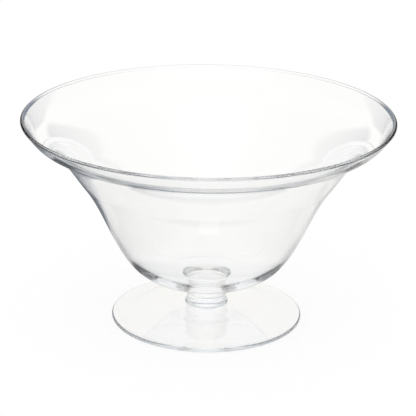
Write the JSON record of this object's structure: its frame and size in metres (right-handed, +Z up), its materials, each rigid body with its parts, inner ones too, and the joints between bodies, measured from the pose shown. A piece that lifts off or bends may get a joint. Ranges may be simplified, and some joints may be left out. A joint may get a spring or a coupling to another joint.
{
  "type": "footed glass bowl",
  "caption": "Clear glass footed serving bowl with a wide flared rim and turned-up lip, on a short waisted stem and a round, slightly coned foot.",
  "frame": {"origin": "middle of the foot's standing ring, on the surface the bowl stands on", "axes": "+Z up along the bowl's axis of rotation; -Y faces the viewer of the picture"},
  "size_m": [0.28, 0.28, 0.16],
  "materials": {
    "bowl_glass": "clear, fire-polished, very faint green in the thickness",
    "stem_glass": "clear, fire-polished solid gather",
    "foot_glass": "clear, fire-polished, faint green at the edge"
  },
  "bodies": {
    "root": {"bowl": "bowl_glass", "stem": "stem_glass", "foot": "foot_glass"}
  },
  "joints": []
}
